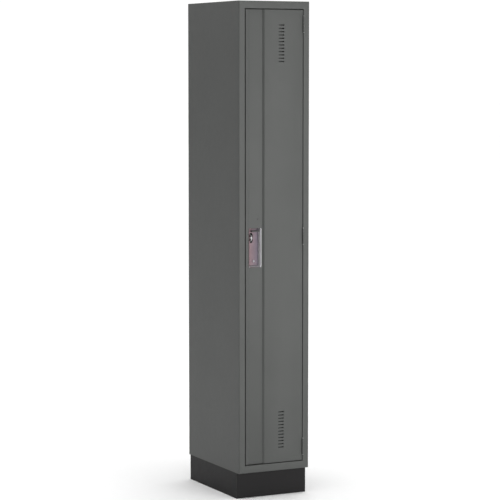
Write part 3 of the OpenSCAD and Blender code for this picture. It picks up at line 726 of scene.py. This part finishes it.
def pocket_screw():
    """Pan head with a hexagon recess, and its threaded shank."""
    low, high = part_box("pocket_screw")
    middle = (low + high) / 2
    seat = low.y + 1.8 * MM
    r = (high.x - low.x) / 2
    bm = bmesh.new()
    shank = [(0.0, -(high.y - seat)), (2.0 * MM, -(high.y - seat))]
    z = -(high.y - seat) + 0.3 * MM
    while z < -0.4 * MM:
        shank += [(2.4 * MM, z), (2.0 * MM, z + 0.25 * MM)]
        z += 0.5 * MM
    add_turned(bm, shank + [(2.4 * MM, -0.2 * MM), (2.4 * MM, 0.0)] + dome(r, 1.8 * MM, 0.3),
               (middle.x, seat, middle.z), (0, -1, 0))
    screw = finish_mesh("pan_head_screw", bm)
    recess = cylinder_ring(1.6 * MM, 6)
    cutter = bmesh.new()
    add_prism(cutter, recess, facing_front(middle.x, low.y, middle.z), -1 * MM, 1.1 * MM)
    piece(cut(screw, cutter), "door", DULL_ZINC, ("pocket_screw",))


def channel_plug():
    low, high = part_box("channel_plug")
    middle = (low + high) / 2
    seat = low.y + 0.8 * MM
    bm = bmesh.new()
    barb = [(0.0, -(high.y - seat)), (1.3 * MM, -(high.y - seat)), (1.7 * MM, -2.8 * MM),
            (2.1 * MM, -2.2 * MM), (1.7 * MM, -1.3 * MM), (1.7 * MM, 0.0)]
    add_turned(bm, barb + dome(2.3 * MM, 0.8 * MM, 0.2), (middle.x, seat, middle.z), (0, -1, 0))
    piece(finish_mesh("button_plug", bm), "door", ABS, ("channel_plug",))


def silencers():
    """Rubber buttons with a domed face."""
    for name in LEVEL_NAMES:
        low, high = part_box("silencer_" + name)
        middle = (low + high) / 2
        r, h = (high.x - low.x) / 2, high.y - low.y
        bm = bmesh.new()
        add_turned(bm, [(0.0, 0.0)] + dome(r, h, 0.35), (middle.x, high.y, middle.z), (0, -1, 0))
        piece(finish_mesh("bumper_" + name, bm), "cabinet", RUBBER, ("silencer_" + name,))


# ---------------------------------------------------------------- rivets and bolts
def rivets():
    hinge = bmesh.new()
    end = -(SKIN_T + SHEET_T)
    # the head lies inside the door skin, the set end is flush with the leaf
    flush_rivet = [(0.0, end), (RIVET_R, end), (RIVET_R, 0.0)] + dome(RIVET_HEAD_R, RIVET_HEAD_H)
    for name in LEVEL_NAMES:
        leaf = centre("hinge_" + name + "_door_leaf")
        for dz in (-22, 0, 22):
            spot = (DOOR_HIGH.x - SKIN_T, FRONT + 14 * MM, leaf.z + dz * MM)
            add_turned(hinge, flush_rivet, spot, (-1, 0, 0))
    piece(finish_mesh("hinge_rivet_set", hinge), "door", PAINT, ("hinge_rivets",))

    hooks = bmesh.new()
    for name in LEVEL_NAMES:
        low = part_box("frame_hook_" + name)[0]
        # one rivet under the hook's slit and one over it
        for dz in (6, 50):
            add_turned(hooks, rivet_profile(3 * MM),
                       (DOOR_LOW.x + 3 * MM, STOP_FRONT, low.z + dz * MM), (0, -1, 0))
    piece(finish_mesh("hook_rivet_set", hooks), "cabinet", ZINC, ("frame_hook_rivets",))

    shelf = bmesh.new()
    low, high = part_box("ceiling_hook_rivets")
    for y in (low.y + 4 * MM, high.y - 4 * MM):
        add_turned(shelf, rivet_profile(4 * MM),
                   ((low.x + high.x) / 2, y, high.z - RIVET_HEAD_H), (0, 0, 1))
    piece(finish_mesh("shelf_rivet_set", shelf), "cabinet", ZINC, ("ceiling_hook_rivets",))


def base_bolts():
    """Button heads with a hexagon recess, on threaded shanks."""
    low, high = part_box("base_bolts")
    seat = high.z - 3 * MM
    bm = bmesh.new()
    cutter = bmesh.new()
    for x in (low.x + 6.5 * MM, high.x - 6.5 * MM):
        for y in (low.y + 6.5 * MM, high.y - 6.5 * MM):
            shank = [(0.0, low.z - seat), (2.5 * MM, low.z - seat)]
            z = low.z - seat + 0.4 * MM
            while z < -3 * MM:
                shank += [(3.0 * MM, z), (2.6 * MM, z + 0.4 * MM)]
                z += 0.8 * MM
            add_turned(bm, shank + [(3.0 * MM, -2.6 * MM), (3.0 * MM, 0.0)] + dome(6.5 * MM, 3 * MM, 0.15),
                       (x, y, seat), (0, 0, 1))
            add_prism(cutter, cylinder_ring(2.3 * MM, 6),
                      lambda u, v, w, x=x, y=y: Vector((x + u, y + v, seat + w)), 1.2 * MM, 4 * MM)
    bolts = finish_mesh("base_bolt_set", bm)
    piece(cut(bolts, cutter), "cabinet", ZINC, ("base_bolts",))


# ---------------------------------------------------------------- coat hooks
def bent_strap(bm, path, radii, thickness, place, width, soft):
    """Strap bent along a path of (u, v), solid to its right, with round long edges and ends."""
    outer = rounded(path, radii, 8)
    rings = []
    count = len(outer)
    for i in range(count):
        a = outer[max(i - 1, 0)]
        b = outer[min(i + 1, count - 1)]
        d = unit2(a, b)
        n = (d[1], -d[0])
        ring = []
        for s, w in round_rect(0, thickness, -width / 2, width / 2, soft, 4):
            ring.append(place(outer[i][0] + n[0] * s, outer[i][1] + n[1] * s, w))
        rings.append(ring)
    add_loft(bm, rings)


def wall_hooks():
    """A round cornered plate with a prong bent out and up, on each wall."""
    spots = {
        "left": (Vector((BODY_LOW.x + SHEET_T, 0, 0)), Matrix.Rotation(math.radians(90), 3, "Z")),
        "right": (Vector((BODY_HIGH.x - SHEET_T, 0, 0)), Matrix.Rotation(math.radians(-90), 3, "Z")),
        "back": (Vector((0, 0, 0)), Matrix.Identity(3)),
    }
    for name, (wall, turn) in spots.items():
        node_name = "coat_hook_" + name
        low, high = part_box(node_name)
        spot = wall.copy()
        spot.z = high.z - 23 * MM
        spot.y = high.y if name == "back" else (low.y + high.y) / 2
        bm = bmesh.new()

        def placed(x, y, z, spot=spot, turn=turn):
            return spot + turn @ Vector((x, y, z))

        add_prism(bm, round_rect(-9 * MM, 9 * MM, -23 * MM, 23 * MM, 4 * MM),
                  lambda u, v, w: placed(u, w, v), -2 * MM, 0)
        path = [(-1 * MM, -2 * MM), (-20 * MM, -12 * MM), (-29 * MM, -8 * MM),
                (-31 * MM, 4 * MM), (-29 * MM, 10 * MM)]
        bent_strap(bm, path, [0, 7 * MM, 5 * MM, 6 * MM, 0], 3 * MM,
                   lambda u, v, w: placed(w, u, v), 10 * MM, 1.2 * MM)
        hook = finish_mesh("wall_hook_" + name, bm)
        soften(hook, 0.4)
        piece(hook, "cabinet", ZINC, (node_name,))


def ceiling_hook():
    low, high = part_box("ceiling_hook")
    middle = (low + high) / 2
    top = high.z
    bm = bmesh.new()
    add_prism(bm, round_rect(-8 * MM, 8 * MM, -24 * MM, 24 * MM, 5 * MM),
              lambda u, v, w: Vector((u, middle.y + v, top + w)), -3 * MM, 0)
    add_prism(bm, round_rect(-5 * MM, 5 * MM, -1.5 * MM, 1.5 * MM, 1 * MM),
              lambda u, v, w: Vector((u, middle.y + v, top + w)), -41 * MM, -2.5 * MM)
    path = [(0, 6 * MM), (12 * MM, -2 * MM), (26 * MM, -2 * MM), (30 * MM, 2 * MM), (31 * MM, 14 * MM)]
    for side in (-1, 1):
        bent_strap(bm, path, [0, 6 * MM, 6 * MM, 5 * MM, 0], 5.5 * MM,
                   lambda u, v, w, side=side: Vector((side * u, middle.y + w, top - 40 * MM + v)),
                   3 * MM, 1 * MM)
    hook = finish_mesh("double_hook", bm)
    soften(hook, 0.3)
    piece(hook, "cabinet", ZINC, ("ceiling_hook",))


# ---------------------------------------------------------------- stage, light and camera
def stage():
    bm = bmesh.new()
    add_prism(bm, [(-60, -40), (60, -40), (60, 90), (-60, 90)], upright, -0.02, 0.0)
    floor = finish_mesh("studio_floor", bm)
    m = new_material("pale_floor", (0.93, 0.93, 0.93), 0.9, specular=0.05)
    link(m, ramp(m, noise(m, 40, 2), (0.925, 0.925, 0.925), (0.935, 0.935, 0.935)), "Color",
         m.node_tree.nodes["Principled BSDF"], "Base Color")
    floor.data.materials.append(m)


def area_light(name, location, target, size, power):
    data = bpy.data.lights.new(name, "AREA")
    data.shape = "RECTANGLE"
    data.size, data.size_y = size
    data.energy = power
    light = bpy.data.objects.new(name, data)
    light.location = location
    light.rotation_euler = (Vector(target) - Vector(location)).to_track_quat("-Z", "Y").to_euler()
    bpy.context.scene.collection.objects.link(light)


def light_the_studio():
    world = bpy.data.worlds.new("studio")
    bpy.context.scene.world = world
    world.use_nodes = True
    backdrop = world.node_tree.nodes["Background"]
    backdrop.inputs["Strength"].default_value = 1.05

    def join(operation, a, b):
        part = node(world, "ShaderNodeMath", operation=operation)
        link(world, a, 0, part, 0)
        link(world, b, 0, part, 1)
        return part

    # a white sweep behind the locker, and an even dimmer studio on its other sides
    behind = along(world, "Generated", "Y", 0.1, 0.5)
    to_the_right = along(world, "Generated", "X", 0.0, 0.25)
    studio = along(world, "Generated", "X", -0.8, 0.8, 0.27, 0.56)
    level = join("MAXIMUM", join("MULTIPLY", behind, to_the_right), studio)
    link(world, level, 0, backdrop, "Color")
    area_light("key", (2.5, -7.5, 1.2), (0, 0, 1.0), (4.5, 4.5), 280)
    area_light("left_strip", (-3.2, -2.6, 2.2), (0, -0.23, 1.4), (0.6, 2.0), 5.4)
    area_light("low_front", (1.5, -3.0, 0.35), (0.05, -0.2, 0.35), (1.2, 0.5), 7)
    area_light("back_left", (-1.8, 3.3, 2.7), (-0.15, 0, 1.8), (1.2, 1.2), 5)
    ceiling = bpy.data.lights.new("ceiling", "SUN")
    ceiling.energy = 2.0
    ceiling.angle = math.radians(40)
    bpy.context.scene.collection.objects.link(bpy.data.objects.new("ceiling", ceiling))
    bpy.context.scene.view_settings.view_transform = "Standard"


def camera():
    data = bpy.data.cameras.new("camera")
    data.sensor_width = 36
    data.lens = 143.11
    data.clip_end = 250
    cam = bpy.data.objects.new("camera", data)
    yaw, pitch = math.radians(26.84), math.radians(-5.134)
    forward = Vector((math.sin(yaw) * math.cos(pitch), math.cos(yaw) * math.cos(pitch), math.sin(pitch)))
    cam.location = (-3.5537, FRONT - 6.8142, 1.6610)
    cam.rotation_euler = forward.to_track_quat("-Z", "Y").to_euler()
    bpy.context.scene.collection.objects.link(cam)
    bpy.context.scene.camera = cam


camera()
light_the_studio()
stage()
dress_cad_nodes()
front_frame()
door_skin()
pocket()
trigger_cover()
pocket_screw()
channel_plug()
silencers()
rivets()
base_bolts()
wall_hooks()
ceiling_hook()
